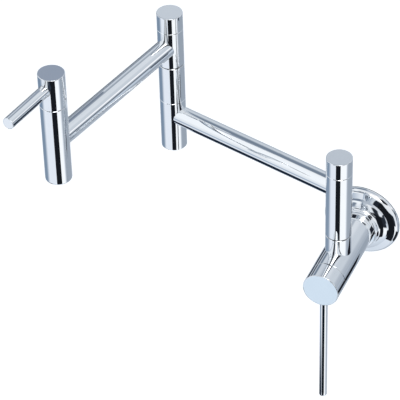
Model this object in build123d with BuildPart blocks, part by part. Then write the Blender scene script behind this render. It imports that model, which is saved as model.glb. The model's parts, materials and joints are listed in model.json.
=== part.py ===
from build123d import *
import math
import os

# Wall mounted pot filler: two swinging arms between three round posts, a shut-off valve at the
# wall and a second one over the spout.
# Millimetres. The wall is the plane Y = 0, the room lies at -Y and +Z is up. The origin is the
# middle of the wall inlet, on the axis of the horizontal valve body.

os.makedirs("parts", exist_ok=True)

# ---- Arms and posts --------------------------------------------------------------------------
post_d = 32.0
post_wall = 5.0
arm_d = 24.5
arm_wall = 1.5
inner_arm_length = 254.4  # post axis to post axis
outer_arm_length = 229.5
inner_arm_heading = 164.5  # degrees from +X, seen from above, as the arms stand at rest
outer_arm_heading = -101.9
post_to_wall = 88.0

neck_height = 43.5  # valve axis to the top of the neck
inner_arm_rise = 67.9  # foot of the wall post to the inner arm's axis
outer_arm_rise = 26.0  # foot of the upper middle post to the outer arm's axis
cap_height = 22.6
middle_drop = 48.5  # inner arm's axis down to the foot of the middle post
middle_seam_rise = 23.4  # inner arm's axis up to the seam under the sleeve
sleeve_height = 52.8
spout_seam_rise = 53.6  # outer arm's axis up to the seam under the spout handle
fold_clearance = 2.0  # the spout post passes over the wall post by this much

# ---- Plays and edges ---------------------------------------------------------------------------
running_play = 0.06  # radial, between a spindle or stem and what turns on it
face_play = 0.05  # between faces that turn on each other
thread_play = 0.05  # radial, between screwed or brazed pieces
edge_round = 0.8
seam_chamfer = 0.35

# ---- Swivels ---------------------------------------------------------------------------------
swivel_washer_t = 1.0
swivel_washer_inset = 0.6  # from the post's outside
spindle_shoulder = 1.0  # radial step from the bearing down to the thread
spindle_thread_length = 20.0
spindle_wall = 4.0
gallery_depth = 2.2  # waist round the ports, as high as the arm's mouth
spindle_port_d = 8.0
spindle_oring_section = 2.4
ring_from_arm = 2.6  # ring's middle to the edge of the arm
ring_to_web = 2.15
groove_slack = 1.2  # a ring's groove is wider than its section by this factor
stud_d = 14.0
post_web_t = 2.0
cap_recess_depth = 5.8
retaining_washer_margin = 5.0  # the washer reaches past the stud by this much
retaining_washer_t = 1.2
retaining_nut_af = 20.0
retaining_nut_t = 6.0
stud_proud = 0.8

# ---- Caps, plugs and fits ----------------------------------------------------------------------
spigot_step = 2.0  # from the post's outside in to the cap's spigot
spigot_wall = 1.4
cap_top_t = 4.0
arm_socket_floor = 6.0  # how near to a post's axis an arm's socket starts
lower_post_wall = 3.5
plug_t = 6.0
plug_inset = 0.6
sleeve_spigot_length = 8.0

# ---- Valve body ----------------------------------------------------------------------------------
barrel_d = 45.5
barrel_back_gap = 3.9  # from the lock nut to the barrel's back
barrel_reach = 36.0  # from the post's axis to the barrel's front face
passage_d = 15.0

# ---- Ceramic cartridges, the same in both valves but for their length ----------------------------
seat_behind_post = 14.0  # front valve's seat, from the post's axis towards the wall
seat_below_arm = 5.15  # spout valve's seat, from the arm's underside
counterbore_wall = 1.8
cartridge_flange_play = 0.2
cartridge_flange_ledge = 1.5
cartridge_flange_t = 3.0
cartridge_inset = 12.0  # flange's seat below the face that the handle turns on
cartridge_thread_length = 10.0
cartridge_neck_d = 15.0
cartridge_neck_length = 7.0
water_gap = 2.9  # radial, between the skirt and its chamber
skirt_wall = 1.2
skirt_lift = 0.6  # the rubber seal stands out of the skirt by this much
disc_t = 3.0
disc_play = 0.1
disc_port_d = 4.6
seal_t = 3.2
seal_width = 2.3
window_width = 9.0
window_height = 6.5
stem_d = 8.0
carrier_t = 4.0
carrier_width = 6.0
stem_proud = 17.0
stem_flat_depth = 1.0
stem_oring_section = 1.4
stem_oring_spacing = 4.5
clip_t = 0.9
clip_d = 12.0
clip_gap = 4.0

# ---- Handles and levers ----------------------------------------------------------------------------
handle_gap = 0.3
front_handle_length = 24.3
spout_handle_length = 43.7
handle_cavity_depth = 5.5
handle_wall = 4.0
front_lever_height = 12.2  # lever's axis from the face that the handle turns on
spout_lever_height = 27.2
front_lever_d = 9.5
spout_lever_d = 14.5
front_lever_reach = 182.0  # from the handle's axis to the lever's tip
spout_lever_reach = 85.5
spout_lever_heading = -99.4
lever_socket_depth = 6.5
lever_socket_play = 0.25
lever_thread_length = 7.0
lever_shoulder = 2.0  # radial step from the lever down to its thread
front_tip_round = 2.0
spout_tip_round = 0.7
handle_screw_d = 4.0
handle_screw_length = 9.0
handle_screw_height = 10.5
hex_socket_af = 2.0
hex_socket_depth = 1.8

# ---- Wall fixing -----------------------------------------------------------------------------------
collar_play = 0.1
collar_wall = 3.65
collar_length = 8.0
bell_width = 3.5  # radial widths of the flange's rings, from the collar outwards
crown_width = 6.5
step_slope = 1.0
face_width = 7.5
bevel_width = 4.0
flange_edge_height = 3.0  # heights of the same rings, from the wall outwards
bevel_height = 5.8
face_cone = 1.6
step_rise = 3.0
bell_rise = 3.0
bell_depth = 2.8
bevel_bulge = 0.9  # how far each curved stretch of the flange's outline leaves its chord
crown_bulge = 0.25
bell_hollow = 0.7
flange_shell = 2.5
cavity_chamfer = 1.5
gasket_t = 1.5
gasket_width = 6.5
gasket_inset = 0.5
bracket_margin = 2.0  # from the gasket's bore in to the bracket
bracket_t = 5.0
screw_circle_d = 62.0
screw_hole_d = 5.5
screw_count = 3
shank_d = 26.4
shank_length = 44.0
shank_flange_width = 3.8
shank_flange_t = 2.0
inlet_d = 19.2  # wall of the half inch taper thread's hole
inlet_depth = 16.0
lock_nut_af = 34.0
lock_nut_t = 6.0
shank_washer_t = 1.5
strainer_d = 17.0
strainer_t = 0.8
strainer_drop = 1.2  # from the thread's end to the strainer
flange_screw_d = 4.0

# ---- Aerator ---------------------------------------------------------------------------------------
mouth_wall = 3.8
aerator_depth = 15.0
aerator_inset = 0.5
aerator_lip_width = 0.95
aerator_lip_t = 1.2
aerator_housing_wall = 2.4
aerator_washer_t = 1.0
outlet_step = 3.2
jet_hole_d = 1.8
jet_pitch = 3.2  # from one ring of jet holes to the next
jet_rings = 2
jet_holes_in_ring = 6  # in the first ring, and as many more in each further ring
seat_web_t = 4.0
spout_foot_round = 2.0

# ---- Diameters worked out from the outside in ------------------------------------------------------
post_bore_d = post_d - 2 * post_wall
lower_post_bore_d = post_d - 2 * lower_post_wall
swivel_washer_d = post_d - 2 * swivel_washer_inset
bearing_d = post_bore_d - 2 * running_play
spindle_thread_d = post_bore_d - 2 * spindle_shoulder
spindle_bore_d = spindle_thread_d - 2 * spindle_wall
cap_spigot_d = post_d - 2 * spigot_step
cap_hollow_d = cap_spigot_d - 2 * spigot_wall
counterbore_d = post_d - 2 * counterbore_wall
cartridge_flange_d = counterbore_d - 2 * cartridge_flange_play
chamber_d = cartridge_flange_d - 2 * cartridge_flange_ledge
skirt_d = chamber_d - 2 * water_gap
disc_d = skirt_d - 2 * skirt_wall - 2 * disc_play
seal_bore_d = disc_d - 2 * seal_width
disc_port_offset = seal_bore_d / 2 - disc_port_d / 2 - disc_play
aerator_d = post_d - 2 * mouth_wall
outlet_d = aerator_d - 2 * outlet_step
aerator_insert_d = aerator_d - 2 * aerator_housing_wall
aerator_lip_d = aerator_insert_d - 2 * aerator_lip_width

collar_bore_d = barrel_d + 2 * collar_play
collar_d = collar_bore_d + 2 * collar_wall
bell_d = collar_d + 2 * bell_width
step_top_d = bell_d + 2 * crown_width
step_d = step_top_d + 2 * step_slope
flange_face_d = step_d + 2 * face_width
flange_d = flange_face_d + 2 * bevel_width
flange_cavity_d = flange_d - 2 * flange_shell
inner_cavity_d = step_top_d - 2 * flange_shell
gasket_d = flange_d - 2 * gasket_inset
gasket_bore_d = gasket_d - 2 * gasket_width
bracket_d = gasket_bore_d - 2 * bracket_margin
shank_flange_d = shank_d + 2 * shank_flange_width


# ---- Places worked out from the sizes --------------------------------------------------------------
def along(heading, length):
    """A level vector of that length and compass heading."""
    angle = math.radians(heading)
    return Vector(length * math.cos(angle), length * math.sin(angle), 0)


wall_axis = Vector(0, -post_to_wall, 0)
middle_axis = wall_axis + along(inner_arm_heading, inner_arm_length)
spout_axis = middle_axis + along(outer_arm_heading, outer_arm_length)

swivel_height = swivel_washer_t + face_play
ring_height = arm_d / 2 + ring_from_arm  # a spindle ring's middle, above or below the arm's axis
web_height = ring_height + ring_to_web  # underside of a post's web above the arm's axis
arm_headroom = web_height + post_web_t + cap_recess_depth  # arm's axis up to the seam of the cap
wall_post_foot = neck_height + swivel_height
inner_arm_z = wall_post_foot + inner_arm_rise
wall_post_seam = inner_arm_z + arm_headroom
wall_cap_top = wall_post_seam + cap_height
middle_foot = inner_arm_z - middle_drop
sleeve_foot = inner_arm_z + middle_seam_rise
sleeve_top = sleeve_foot + sleeve_height
upper_post_foot = sleeve_top + swivel_height
outer_arm_z = upper_post_foot + outer_arm_rise
upper_post_seam = outer_arm_z + arm_headroom
spout_foot = wall_cap_top + fold_clearance
spout_seam = outer_arm_z + spout_seam_rise
barrel_front = post_to_wall + barrel_reach
barrel_back = bracket_t + lock_nut_t + barrel_back_gap
front_seat = post_to_wall - seat_behind_post
front_reach = barrel_front - front_seat  # valve seat to the face that the handle turns on
spout_seat = outer_arm_z - arm_d / 2 - seat_below_arm
spout_reach = spout_seam - spout_seat

from_wall = Plane(origin=(0, 0, 0), x_dir=(1, 0, 0), z_dir=(0, -1, 0))


def level(axis, height):
    """A level plane on a post's axis."""
    return Plane(origin=(axis.X, axis.Y, height))


def sideways(plane, height, angle):
    """A plane on the given one's axis, at that height, that faces sideways at that angle."""
    base = plane.offset(height)
    turn = math.radians(angle)
    facing = base.x_dir * math.cos(turn) + base.y_dir * math.sin(turn)
    return Plane(origin=base.origin, x_dir=base.z_dir, z_dir=facing)


def add_round(plane, start, end, diameter):
    """Adds a cylinder to the part in hand, from start to end along the plane's normal."""
    with BuildSketch(plane.offset(start)) as section:
        Circle(diameter / 2)
    extrude(section.sketch, amount=end - start)


def cut_round(plane, start, end, diameter):
    """Cuts a round hole in the part in hand, from start to end along the plane's normal."""
    with BuildSketch(plane.offset(start)) as section:
        Circle(diameter / 2)
    extrude(section.sketch, amount=end - start, mode=Mode.SUBTRACT)


def ring(plane, thickness, outer_d, inner_d):
    """A flat ring that stands on the plane."""
    with BuildPart() as piece:
        add_round(plane, 0, thickness, outer_d)
        cut_round(plane, 0, thickness, inner_d)
    return piece.part


def orings(planes, outer_d, section):
    """Round rubber rings, one in each plane."""
    with BuildPart() as piece:
        for plane in planes:
            across = Plane(origin=plane.origin, x_dir=plane.x_dir, z_dir=-plane.y_dir)
            with BuildSketch(across):
                with Locations((outer_d / 2 - section / 2, 0)):
                    Circle(section / 2)
            revolve(axis=Axis(plane.origin, plane.z_dir))
    return piece.part


def save(piece, name):
    """Labels a finished piece and writes it under its name."""
    piece.label = name
    export_step(piece, f"parts/{name}.step")


def grub_screw(plane, start, diameter, length):
    """A headless screw along the plane's normal, with a hexagon socket in its outer end."""
    with BuildPart() as piece:
        add_round(plane, start, start + length, diameter)
        with BuildSketch(plane.offset(start + length - hex_socket_depth)):
            RegularPolygon(hex_socket_af / 2, 6, major_radius=False)
        extrude(amount=hex_socket_depth, mode=Mode.SUBTRACT)
    return piece.part


def hex_nut(plane, across_flats, thickness, bore_d):
    """A hexagon nut that stands on the plane, with its outer corners taken off."""
    with BuildPart() as piece:
        with BuildSketch(plane):
            RegularPolygon(across_flats / 2, 6, major_radius=False)
        extrude(amount=thickness)
        corner_d = across_flats / math.cos(math.pi / 6)
        with BuildSketch(plane):
            Circle((across_flats + corner_d) / 4)
        extrude(amount=thickness, mode=Mode.INTERSECT)
        cut_round(plane, 0, thickness, bore_d)
    return piece.part


# ---- Arms ------------------------------------------------------------------------------------------
def arm_tube(start_axis, heading, length, height, start_bore_d, end_bore_d):
    """A straight tube from post to post, its ends cut flush with the bores of the posts."""
    start = sideways(level(start_axis, height), 0, heading)
    end_axis = start_axis + along(heading, length)
    with BuildPart() as piece:
        add_round(start, arm_socket_floor, length - arm_socket_floor, arm_d)
        cut_round(start, arm_socket_floor, length - arm_socket_floor, arm_d - 2 * arm_wall)
        cut_round(level(start_axis, height), -arm_d, arm_d, start_bore_d)
        cut_round(level(end_axis, height), -arm_d, arm_d, end_bore_d)
    return piece.part


def cut_arm_socket(axis, height, heading):
    """Cuts an arm's socket in the side of the post in hand."""
    socket = sideways(level(axis, height), 0, heading)
    cut_round(socket, arm_socket_floor, post_d, arm_d + 2 * thread_play)


save(
    arm_tube(
        wall_axis, inner_arm_heading, inner_arm_length, inner_arm_z, post_bore_d, lower_post_bore_d
    ),
    "inner_arm",
)
save(
    arm_tube(middle_axis, outer_arm_heading, outer_arm_length, outer_arm_z, post_bore_d, chamber_d),
    "outer_arm",
)


# ---- Swivels: the wall post on the neck, and the upper middle post on the sleeve -------------------
def swivel_post(axis, foot, arm_height, seam, heading):
    """A post that turns on a spindle and carries an arm, with a recess for its cap."""
    base = level(axis, foot)
    length = seam - foot
    recess_floor = length - cap_recess_depth
    with BuildPart() as piece:
        add_round(base, 0, length, post_d)
        chamfer(piece.edges().group_by(Axis.Z)[0], seam_chamfer)
        chamfer(piece.edges().group_by(Axis.Z)[-1], seam_chamfer)
        cut_round(base, 0, recess_floor - post_web_t, post_bore_d)
        cut_round(base, recess_floor - post_web_t, recess_floor, stud_d + 2 * running_play)
        cut_round(base, recess_floor, length, cap_spigot_d + 2 * thread_play)
        cut_arm_socket(axis, arm_height, heading)
    return piece.part


def post_cap(axis, seam):
    """A hollow cap with a spigot that screws into the top of a post."""
    base = level(axis, seam)
    with BuildPart() as piece:
        add_round(base, 0, cap_height, post_d)
        chamfer(piece.edges().group_by(Axis.Z)[0], seam_chamfer)
        fillet(piece.edges().group_by(Axis.Z)[-1], edge_round)
        add_round(base, -cap_recess_depth, seam_chamfer, cap_spigot_d)
        cut_round(base, -cap_recess_depth, cap_height - cap_top_t, cap_hollow_d)
    return piece.part


def cut_waist(plane, foot, height, outer_d, waist_d):
    """Turns the part in hand down to a smaller diameter over that height."""
    with BuildSketch(plane.offset(foot)) as section:
        Circle(outer_d / 2 + running_play)
        Circle(waist_d / 2, mode=Mode.SUBTRACT)
    extrude(section.sketch, amount=height, mode=Mode.SUBTRACT)


def swivel_spindle(base, port, shoulder, ring_heights):
    """A hollow pivot, screwed in below the base plane, with ports at the arm and a stud on top."""
    groove_d = post_bore_d - 2 * spindle_oring_section - 2 * running_play
    groove_width = spindle_oring_section * groove_slack
    gallery_height = arm_d - 2 * arm_wall
    web_and_plays = post_web_t + 2 * face_play
    stud_top = shoulder + web_and_plays + retaining_washer_t + retaining_nut_t + stud_proud
    with BuildPart() as piece:
        add_round(base, -spindle_thread_length, 0, spindle_thread_d)
        add_round(base, 0, shoulder, bearing_d)
        add_round(base, shoulder, stud_top, stud_d)
        for height in ring_heights:
            cut_waist(base, height - groove_width / 2, groove_width, bearing_d, groove_d)
        waist_d = bearing_d - 2 * gallery_depth
        cut_waist(base, port - gallery_height / 2, gallery_height, bearing_d, waist_d)
        cut_round(base, -spindle_thread_length, port + spindle_port_d, spindle_bore_d)
        for side in (0, 90):
            cut_round(sideways(base, port, side), -post_d, post_d, spindle_port_d)
    return piece.part


def save_swivel(name, axis, seat, arm_height):
    """Writes the spindle of one swivel with its washer, rings, retaining washer and nut."""
    base = level(axis, seat)
    port = arm_height - seat
    web_foot = port + web_height
    ring_heights = [port - ring_height, port + ring_height]
    ring_planes = [base.offset(height) for height in ring_heights]
    save(swivel_spindle(base, port, web_foot - face_play, ring_heights), f"{name}_spindle")
    save(
        orings(ring_planes, post_bore_d - running_play, spindle_oring_section),
        f"{name}_spindle_orings",
    )
    save(ring(base, swivel_washer_t, swivel_washer_d, post_bore_d), f"{name}_swivel_washer")

    washer_plane = base.offset(web_foot + post_web_t + face_play)
    nut_plane = washer_plane.offset(retaining_washer_t)
    stud_hole_d = stud_d + 2 * thread_play
    washer_d = stud_d + 2 * retaining_washer_margin
    save(
        ring(washer_plane, retaining_washer_t, washer_d, stud_hole_d),
        f"{name}_retaining_washer",
    )
    save(
        hex_nut(nut_plane, retaining_nut_af, retaining_nut_t, stud_hole_d),
        f"{name}_retaining_nut",
    )


save(
    swivel_post(wall_axis, wall_post_foot, inner_arm_z, wall_post_seam, inner_arm_heading),
    "wall_post",
)
save(post_cap(wall_axis, wall_post_seam), "wall_post_cap")
save_swivel("wall", wall_axis, neck_height, inner_arm_z)

save(
    swivel_post(middle_axis, upper_post_foot, outer_arm_z, upper_post_seam, outer_arm_heading),
    "middle_post_upper",
)
save(post_cap(middle_axis, upper_post_seam), "middle_post_cap")
save_swivel("middle", middle_axis, sleeve_top, outer_arm_z)

# ---- Lower half of the middle post -----------------------------------------------------------------
middle_base = level(middle_axis, middle_foot)
with BuildPart() as middle_post_lower:
    add_round(middle_base, 0, sleeve_foot - middle_foot, post_d)
    fillet(middle_post_lower.edges().group_by(Axis.Z)[0], edge_round)
    chamfer(middle_post_lower.edges().group_by(Axis.Z)[-1], seam_chamfer)
    cut_round(middle_base, 0, sleeve_foot - middle_foot, lower_post_bore_d)
    cut_arm_socket(middle_axis, inner_arm_z, inner_arm_heading + 180)
save(middle_post_lower.part, "middle_post_lower")

with BuildPart() as middle_bottom_plug:
    add_round(middle_base, plug_inset, plug_inset + plug_t, lower_post_bore_d - 2 * thread_play)
    chamfer(middle_bottom_plug.edges().group_by(Axis.Z)[0], seam_chamfer)
save(middle_bottom_plug.part, "middle_bottom_plug")

sleeve_base = level(middle_axis, sleeve_foot)
with BuildPart() as middle_sleeve:
    add_round(sleeve_base, 0, sleeve_height, post_d)
    chamfer(middle_sleeve.edges().group_by(Axis.Z)[0], seam_chamfer)
    chamfer(middle_sleeve.edges().group_by(Axis.Z)[-1], seam_chamfer)
    add_round(sleeve_base, -sleeve_spigot_length, seam_chamfer, lower_post_bore_d - 2 * thread_play)
    cut_round(sleeve_base, -sleeve_spigot_length, sleeve_height, spindle_thread_d + 2 * thread_play)
save(middle_sleeve.part, "middle_sleeve")


# ---- Ceramic cartridges ----------------------------------------------------------------------------
disc_foot = seal_t
moving_disc_foot = disc_foot + disc_t + face_play
carrier_foot = moving_disc_foot + disc_t
quarter_turn = 90  # the ports of the two discs stand square to each other when the valve is shut


def ceramic_disc(plane, turn):
    """A ceramic disc with two round ports, turned about its axis."""
    with BuildPart() as piece:
        add_round(plane, 0, disc_t, disc_d)
        with BuildSketch(plane):
            with PolarLocations(disc_port_offset, 2, start_angle=turn):
                Circle(disc_port_d / 2)
        extrude(amount=disc_t, mode=Mode.SUBTRACT)
    return piece.part


def save_cartridge(name, seat, reach, screw_side):
    """Writes one valve's cartridge. seat is a plane on the valve seat that faces the handle."""
    flange_seat = reach - cartridge_inset
    neck_top = flange_seat + cartridge_flange_t + cartridge_neck_length
    stem_top = reach + stem_proud
    shaft_d = stem_d - 2 * running_play
    with BuildPart() as body:
        add_round(seat, skirt_lift, flange_seat - cartridge_thread_length, skirt_d)
        add_round(seat, flange_seat - cartridge_thread_length, flange_seat, chamber_d - 2 * thread_play)
        add_round(seat, flange_seat, flange_seat + cartridge_flange_t, cartridge_flange_d)
        add_round(seat, flange_seat + cartridge_flange_t, neck_top, cartridge_neck_d)
        cut_round(seat, skirt_lift, carrier_foot + carrier_t + disc_play, disc_d + 2 * disc_play)
        cut_round(seat, 0, neck_top, stem_d)
        with BuildSketch(seat.offset(carrier_foot)):
            Rectangle(2 * skirt_d, window_width)
        extrude(amount=window_height, mode=Mode.SUBTRACT)
    save(body.part, f"{name}_cartridge_body")

    save(ring(seat, seal_t, disc_d, seal_bore_d), f"{name}_cartridge_seal")
    save(ceramic_disc(seat.offset(disc_foot), 0), f"{name}_fixed_disc")
    save(ceramic_disc(seat.offset(moving_disc_foot), quarter_turn), f"{name}_moving_disc")

    ring_heights = [flange_seat - stem_oring_spacing, flange_seat]
    ring_planes = [seat.offset(height) for height in ring_heights]
    groove_width = stem_oring_section * groove_slack
    groove_d = stem_d - 2 * stem_oring_section - 2 * running_play
    with BuildPart() as stem:
        with BuildSketch(seat.offset(carrier_foot)):
            Circle(disc_d / 2 - disc_play)
            Rectangle(disc_d, carrier_width, mode=Mode.INTERSECT)
        extrude(amount=carrier_t)
        add_round(seat, carrier_foot + carrier_t, stem_top, shaft_d)
        for height in ring_heights:
            cut_waist(seat, height - groove_width / 2, groove_width, shaft_d, groove_d)
        cut_waist(seat, neck_top, clip_t + 2 * face_play, shaft_d, groove_d)
        flat = sideways(seat, reach + handle_gap, screw_side)
        with BuildSketch(flat.offset(stem_d / 2 - stem_flat_depth)):
            with Locations((stem_proud / 2, 0)):
                Rectangle(stem_proud, stem_d)
        extrude(amount=stem_flat_depth, mode=Mode.SUBTRACT)
    save(stem.part, f"{name}_stem")

    save(orings(ring_planes, stem_d - running_play, stem_oring_section), f"{name}_stem_orings")

    clip_foot = seat.offset(neck_top + face_play)
    with BuildPart() as clip:
        add_round(clip_foot, 0, clip_t, clip_d)
        cut_round(clip_foot, 0, clip_t, groove_d + 2 * thread_play)
        with BuildSketch(clip_foot):
            with Locations((clip_d / 2, 0)):
                Rectangle(clip_d, clip_gap)
        extrude(amount=clip_t, mode=Mode.SUBTRACT)
    save(clip.part, f"{name}_stem_clip")


# ---- Handles and levers ----------------------------------------------------------------------------
def save_handle(
    name,
    face,
    handle_d,
    length,
    lever_height,
    lever_d,
    lever_reach,
    lever_side,
    screw_side,
    tip_round,
):
    """Writes a handle, its lever and its grub screw. face is the plane that the handle turns on."""
    lever_axis = sideways(face, lever_height, lever_side)
    screw_axis = sideways(face, handle_screw_height, screw_side)
    socket_floor = handle_d / 2 - lever_socket_depth
    lever_thread_d = lever_d - 2 * lever_shoulder
    thread_floor = socket_floor - lever_thread_length
    top = handle_gap + length
    with BuildPart() as handle:
        add_round(face, handle_gap, top, handle_d)
        chamfer(handle.edges().group_by(Axis(face.origin, face.z_dir))[0], seam_chamfer)
        fillet(handle.edges().group_by(Axis(face.origin, face.z_dir))[-1], edge_round)
        cut_round(face, handle_gap, handle_gap + handle_cavity_depth, handle_d - 2 * handle_wall)
        cut_round(face, handle_gap, stem_proud + handle_gap, stem_d)
        cut_round(lever_axis, socket_floor, handle_d, lever_d + 2 * lever_socket_play)
        cut_round(lever_axis, thread_floor - thread_play, handle_d, lever_thread_d + 2 * thread_play)
        cut_round(screw_axis, 0, handle_d, handle_screw_d + 2 * thread_play)
    save(handle.part, f"{name}_handle")

    with BuildPart() as lever:
        add_round(lever_axis, socket_floor, lever_reach, lever_d)
        fillet(lever.edges().group_by(Axis(lever_axis.origin, lever_axis.z_dir))[-1], tip_round)
        add_round(lever_axis, thread_floor, socket_floor, lever_thread_d)
    save(lever.part, f"{name}_lever")

    screw_foot = stem_d / 2 - stem_flat_depth + thread_play
    save(
        grub_screw(screw_axis, screw_foot, handle_screw_d, handle_screw_length),
        f"{name}_handle_set_screw",
    )


front_seat_plane = from_wall.offset(front_seat)
save_cartridge("front", front_seat_plane, front_reach, 180)
save_handle(
    "front",
    front_seat_plane.offset(front_reach),
    barrel_d,
    front_handle_length,
    front_lever_height,
    front_lever_d,
    front_lever_reach,
    lever_side=-90,
    screw_side=180,
    tip_round=front_tip_round,
)

spout_seat_plane = level(spout_axis, spout_seat)
save_cartridge("spout", spout_seat_plane, spout_reach, spout_lever_heading + 180)
save_handle(
    "spout",
    spout_seat_plane.offset(spout_reach),
    post_d,
    spout_handle_length,
    spout_lever_height,
    spout_lever_d,
    spout_lever_reach,
    lever_side=spout_lever_heading,
    screw_side=spout_lever_heading + 180,
    tip_round=spout_tip_round,
)

# ---- Valve body ------------------------------------------------------------------------------------
neck_base = level(wall_axis, 0)
shank_socket_floor = shank_length + shank_washer_t
with BuildPart() as valve_body:
    add_round(neck_base, 0, neck_height, post_d)
    chamfer(valve_body.edges().group_by(Axis.Z)[-1], seam_chamfer)
    add_round(from_wall, barrel_back, barrel_front - seam_chamfer, barrel_d)
    add_round(from_wall, barrel_front - seam_chamfer, barrel_front, barrel_d - 2 * seam_chamfer)
    cut_round(from_wall, barrel_back, shank_socket_floor, shank_d + 2 * thread_play)
    cut_round(from_wall, shank_socket_floor, front_seat, passage_d)
    cut_round(from_wall, front_seat, barrel_front - cartridge_inset, chamber_d)
    cut_round(from_wall, barrel_front - cartridge_inset, barrel_front, counterbore_d)
    cut_round(neck_base, 0, neck_height, spindle_thread_d + 2 * thread_play)
save(valve_body.part, "valve_body")

# ---- Wall fixing -----------------------------------------------------------------------------------
with BuildPart() as inlet_shank:
    add_round(from_wall, 0, shank_length, shank_d)
    add_round(from_wall, 0, shank_flange_t, shank_flange_d)
    cut_round(from_wall, 0, inlet_depth, inlet_d)
    strainer_seat = inlet_depth + strainer_drop + strainer_t
    cut_round(from_wall, inlet_depth, strainer_seat, strainer_d + 2 * thread_play)
    cut_round(from_wall, strainer_seat, shank_length, passage_d)
save(inlet_shank.part, "inlet_shank")


def perforated_disc(plane, thickness, diameter):
    """A round disc that stands on the plane, with rings of jet holes round a middle one."""
    with BuildPart() as piece:
        add_round(plane, 0, thickness, diameter)
        with BuildSketch(plane):
            Circle(jet_hole_d / 2)
            for number in range(1, jet_rings + 1):
                with PolarLocations(jet_pitch * number, jet_holes_in_ring * number):
                    Circle(jet_hole_d / 2)
        extrude(amount=thickness, mode=Mode.SUBTRACT)
    return piece.part


strainer_plane = from_wall.offset(inlet_depth + strainer_drop)
save(perforated_disc(strainer_plane, strainer_t, strainer_d), "inlet_strainer")

shank_hole_d = shank_d + 2 * thread_play
washer_plane = from_wall.offset(shank_length)
save(ring(washer_plane, shank_washer_t, shank_d, passage_d), "shank_washer")
lock_nut_plane = from_wall.offset(bracket_t)
save(hex_nut(lock_nut_plane, lock_nut_af, lock_nut_t, shank_hole_d), "shank_lock_nut")

with BuildPart() as wall_bracket:
    add_round(from_wall, 0, bracket_t, bracket_d)
    cut_round(from_wall, 0, bracket_t, shank_hole_d)
    cut_round(from_wall, 0, shank_flange_t, shank_flange_d + 2 * thread_play)
    with BuildSketch(from_wall):
        with PolarLocations(screw_circle_d / 2, screw_count, start_angle=90):
            Circle(screw_hole_d / 2)
    extrude(amount=bracket_t, mode=Mode.SUBTRACT)
save(wall_bracket.part, "wall_bracket")

save(ring(from_wall, gasket_t, gasket_d, gasket_bore_d), "wall_gasket")

# Half section of the flange: radius along X, distance from the wall along -Y.
flange_face_height = flange_edge_height + bevel_height
step_foot_height = flange_face_height + face_cone
step_top_height = step_foot_height + step_rise
bell_height = step_top_height + bell_rise
collar_foot_height = bell_height + bell_depth
collar_front = collar_foot_height + collar_length
inner_ceiling = bracket_t + lock_nut_t + collar_play
outer_ceiling = flange_face_height - flange_shell
with BuildPart() as wall_flange:
    with BuildSketch(Plane.XY):
        with BuildLine():
            rim = Polyline(
                (flange_cavity_d / 2, -gasket_t),
                (flange_d / 2, -gasket_t),
                (flange_d / 2, -flange_edge_height),
            )
            bevel = SagittaArc(rim @ 1, (flange_face_d / 2, -flange_face_height), bevel_bulge)
            step_foot = (step_d / 2, -step_foot_height)
            face = Polyline(bevel @ 1, step_foot, (step_top_d / 2, -step_top_height))
            crown = SagittaArc(face @ 1, (bell_d / 2, -bell_height), crown_bulge)
            bell = SagittaArc(crown @ 1, (collar_d / 2, -collar_foot_height), -bell_hollow)
            Polyline(
                bell @ 1,
                (collar_d / 2, -collar_front),
                (collar_bore_d / 2, -collar_front),
                (collar_bore_d / 2, -inner_ceiling),
                (inner_cavity_d / 2, -inner_ceiling),
                (inner_cavity_d / 2, -outer_ceiling),
                (flange_cavity_d / 2 - cavity_chamfer, -outer_ceiling),
                (flange_cavity_d / 2, -outer_ceiling + cavity_chamfer),
                rim @ 0,
            )
        make_face()
    revolve(axis=Axis.Y)
    collar_rims = wall_flange.edges().filter_by(GeomType.CIRCLE).group_by(Axis.Y)[0]
    fillet(collar_rims.sort_by(SortBy.RADIUS)[-1], edge_round)
    flange_screw_axis = sideways(from_wall, collar_foot_height + collar_length / 2, -90)
    cut_round(flange_screw_axis, 0, collar_d, flange_screw_d + 2 * thread_play)
save(wall_flange.part, "wall_flange")

flange_screw_foot = barrel_d / 2 + thread_play
flange_screw_length = collar_d / 2 - flange_screw_foot
save(
    grub_screw(flange_screw_axis, flange_screw_foot, flange_screw_d, flange_screw_length),
    "flange_set_screw",
)

# ---- Spout post and aerator ------------------------------------------------------------------------
spout_base = level(spout_axis, spout_foot)
spout_length = spout_seam - spout_foot
spout_seat_height = spout_seat - spout_foot
with BuildPart() as spout_post:
    add_round(spout_base, 0, spout_length, post_d)
    fillet(spout_post.edges().group_by(Axis.Z)[0], spout_foot_round)
    chamfer(spout_post.edges().group_by(Axis.Z)[-1], seam_chamfer)
    cut_round(spout_base, 0, aerator_depth, aerator_d)
    cut_round(spout_base, aerator_depth, spout_seat_height - seat_web_t, outlet_d)
    cut_round(spout_base, aerator_depth, spout_seat_height, seal_bore_d)
    cut_round(spout_base, spout_seat_height, spout_length - cartridge_inset, chamber_d)
    cut_round(spout_base, spout_length - cartridge_inset, spout_length, counterbore_d)
    cut_arm_socket(spout_axis, outer_arm_z, outer_arm_heading + 180)
save(spout_post.part, "spout_post")

housing_top = aerator_depth - aerator_washer_t
lip_top = aerator_inset + aerator_lip_t
with BuildPart() as aerator_housing:
    add_round(spout_base, aerator_inset, housing_top, aerator_d - 2 * thread_play)
    cut_round(spout_base, aerator_inset, lip_top, aerator_lip_d)
    cut_round(spout_base, lip_top, housing_top, aerator_insert_d + 2 * thread_play)
save(aerator_housing.part, "aerator_housing")

insert_plane = spout_base.offset(lip_top)
save(perforated_disc(insert_plane, housing_top - lip_top, aerator_insert_d), "aerator_insert")

housing_d = aerator_d - 2 * thread_play
save(
    ring(spout_base.offset(housing_top), aerator_washer_t, housing_d, outlet_d),
    "aerator_washer",
)
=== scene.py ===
"""Looks of a wall mounted pot filler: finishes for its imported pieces, a studio and the camera.

Lengths are in metres and angles in degrees, unless a comment says otherwise.
"""

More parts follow.
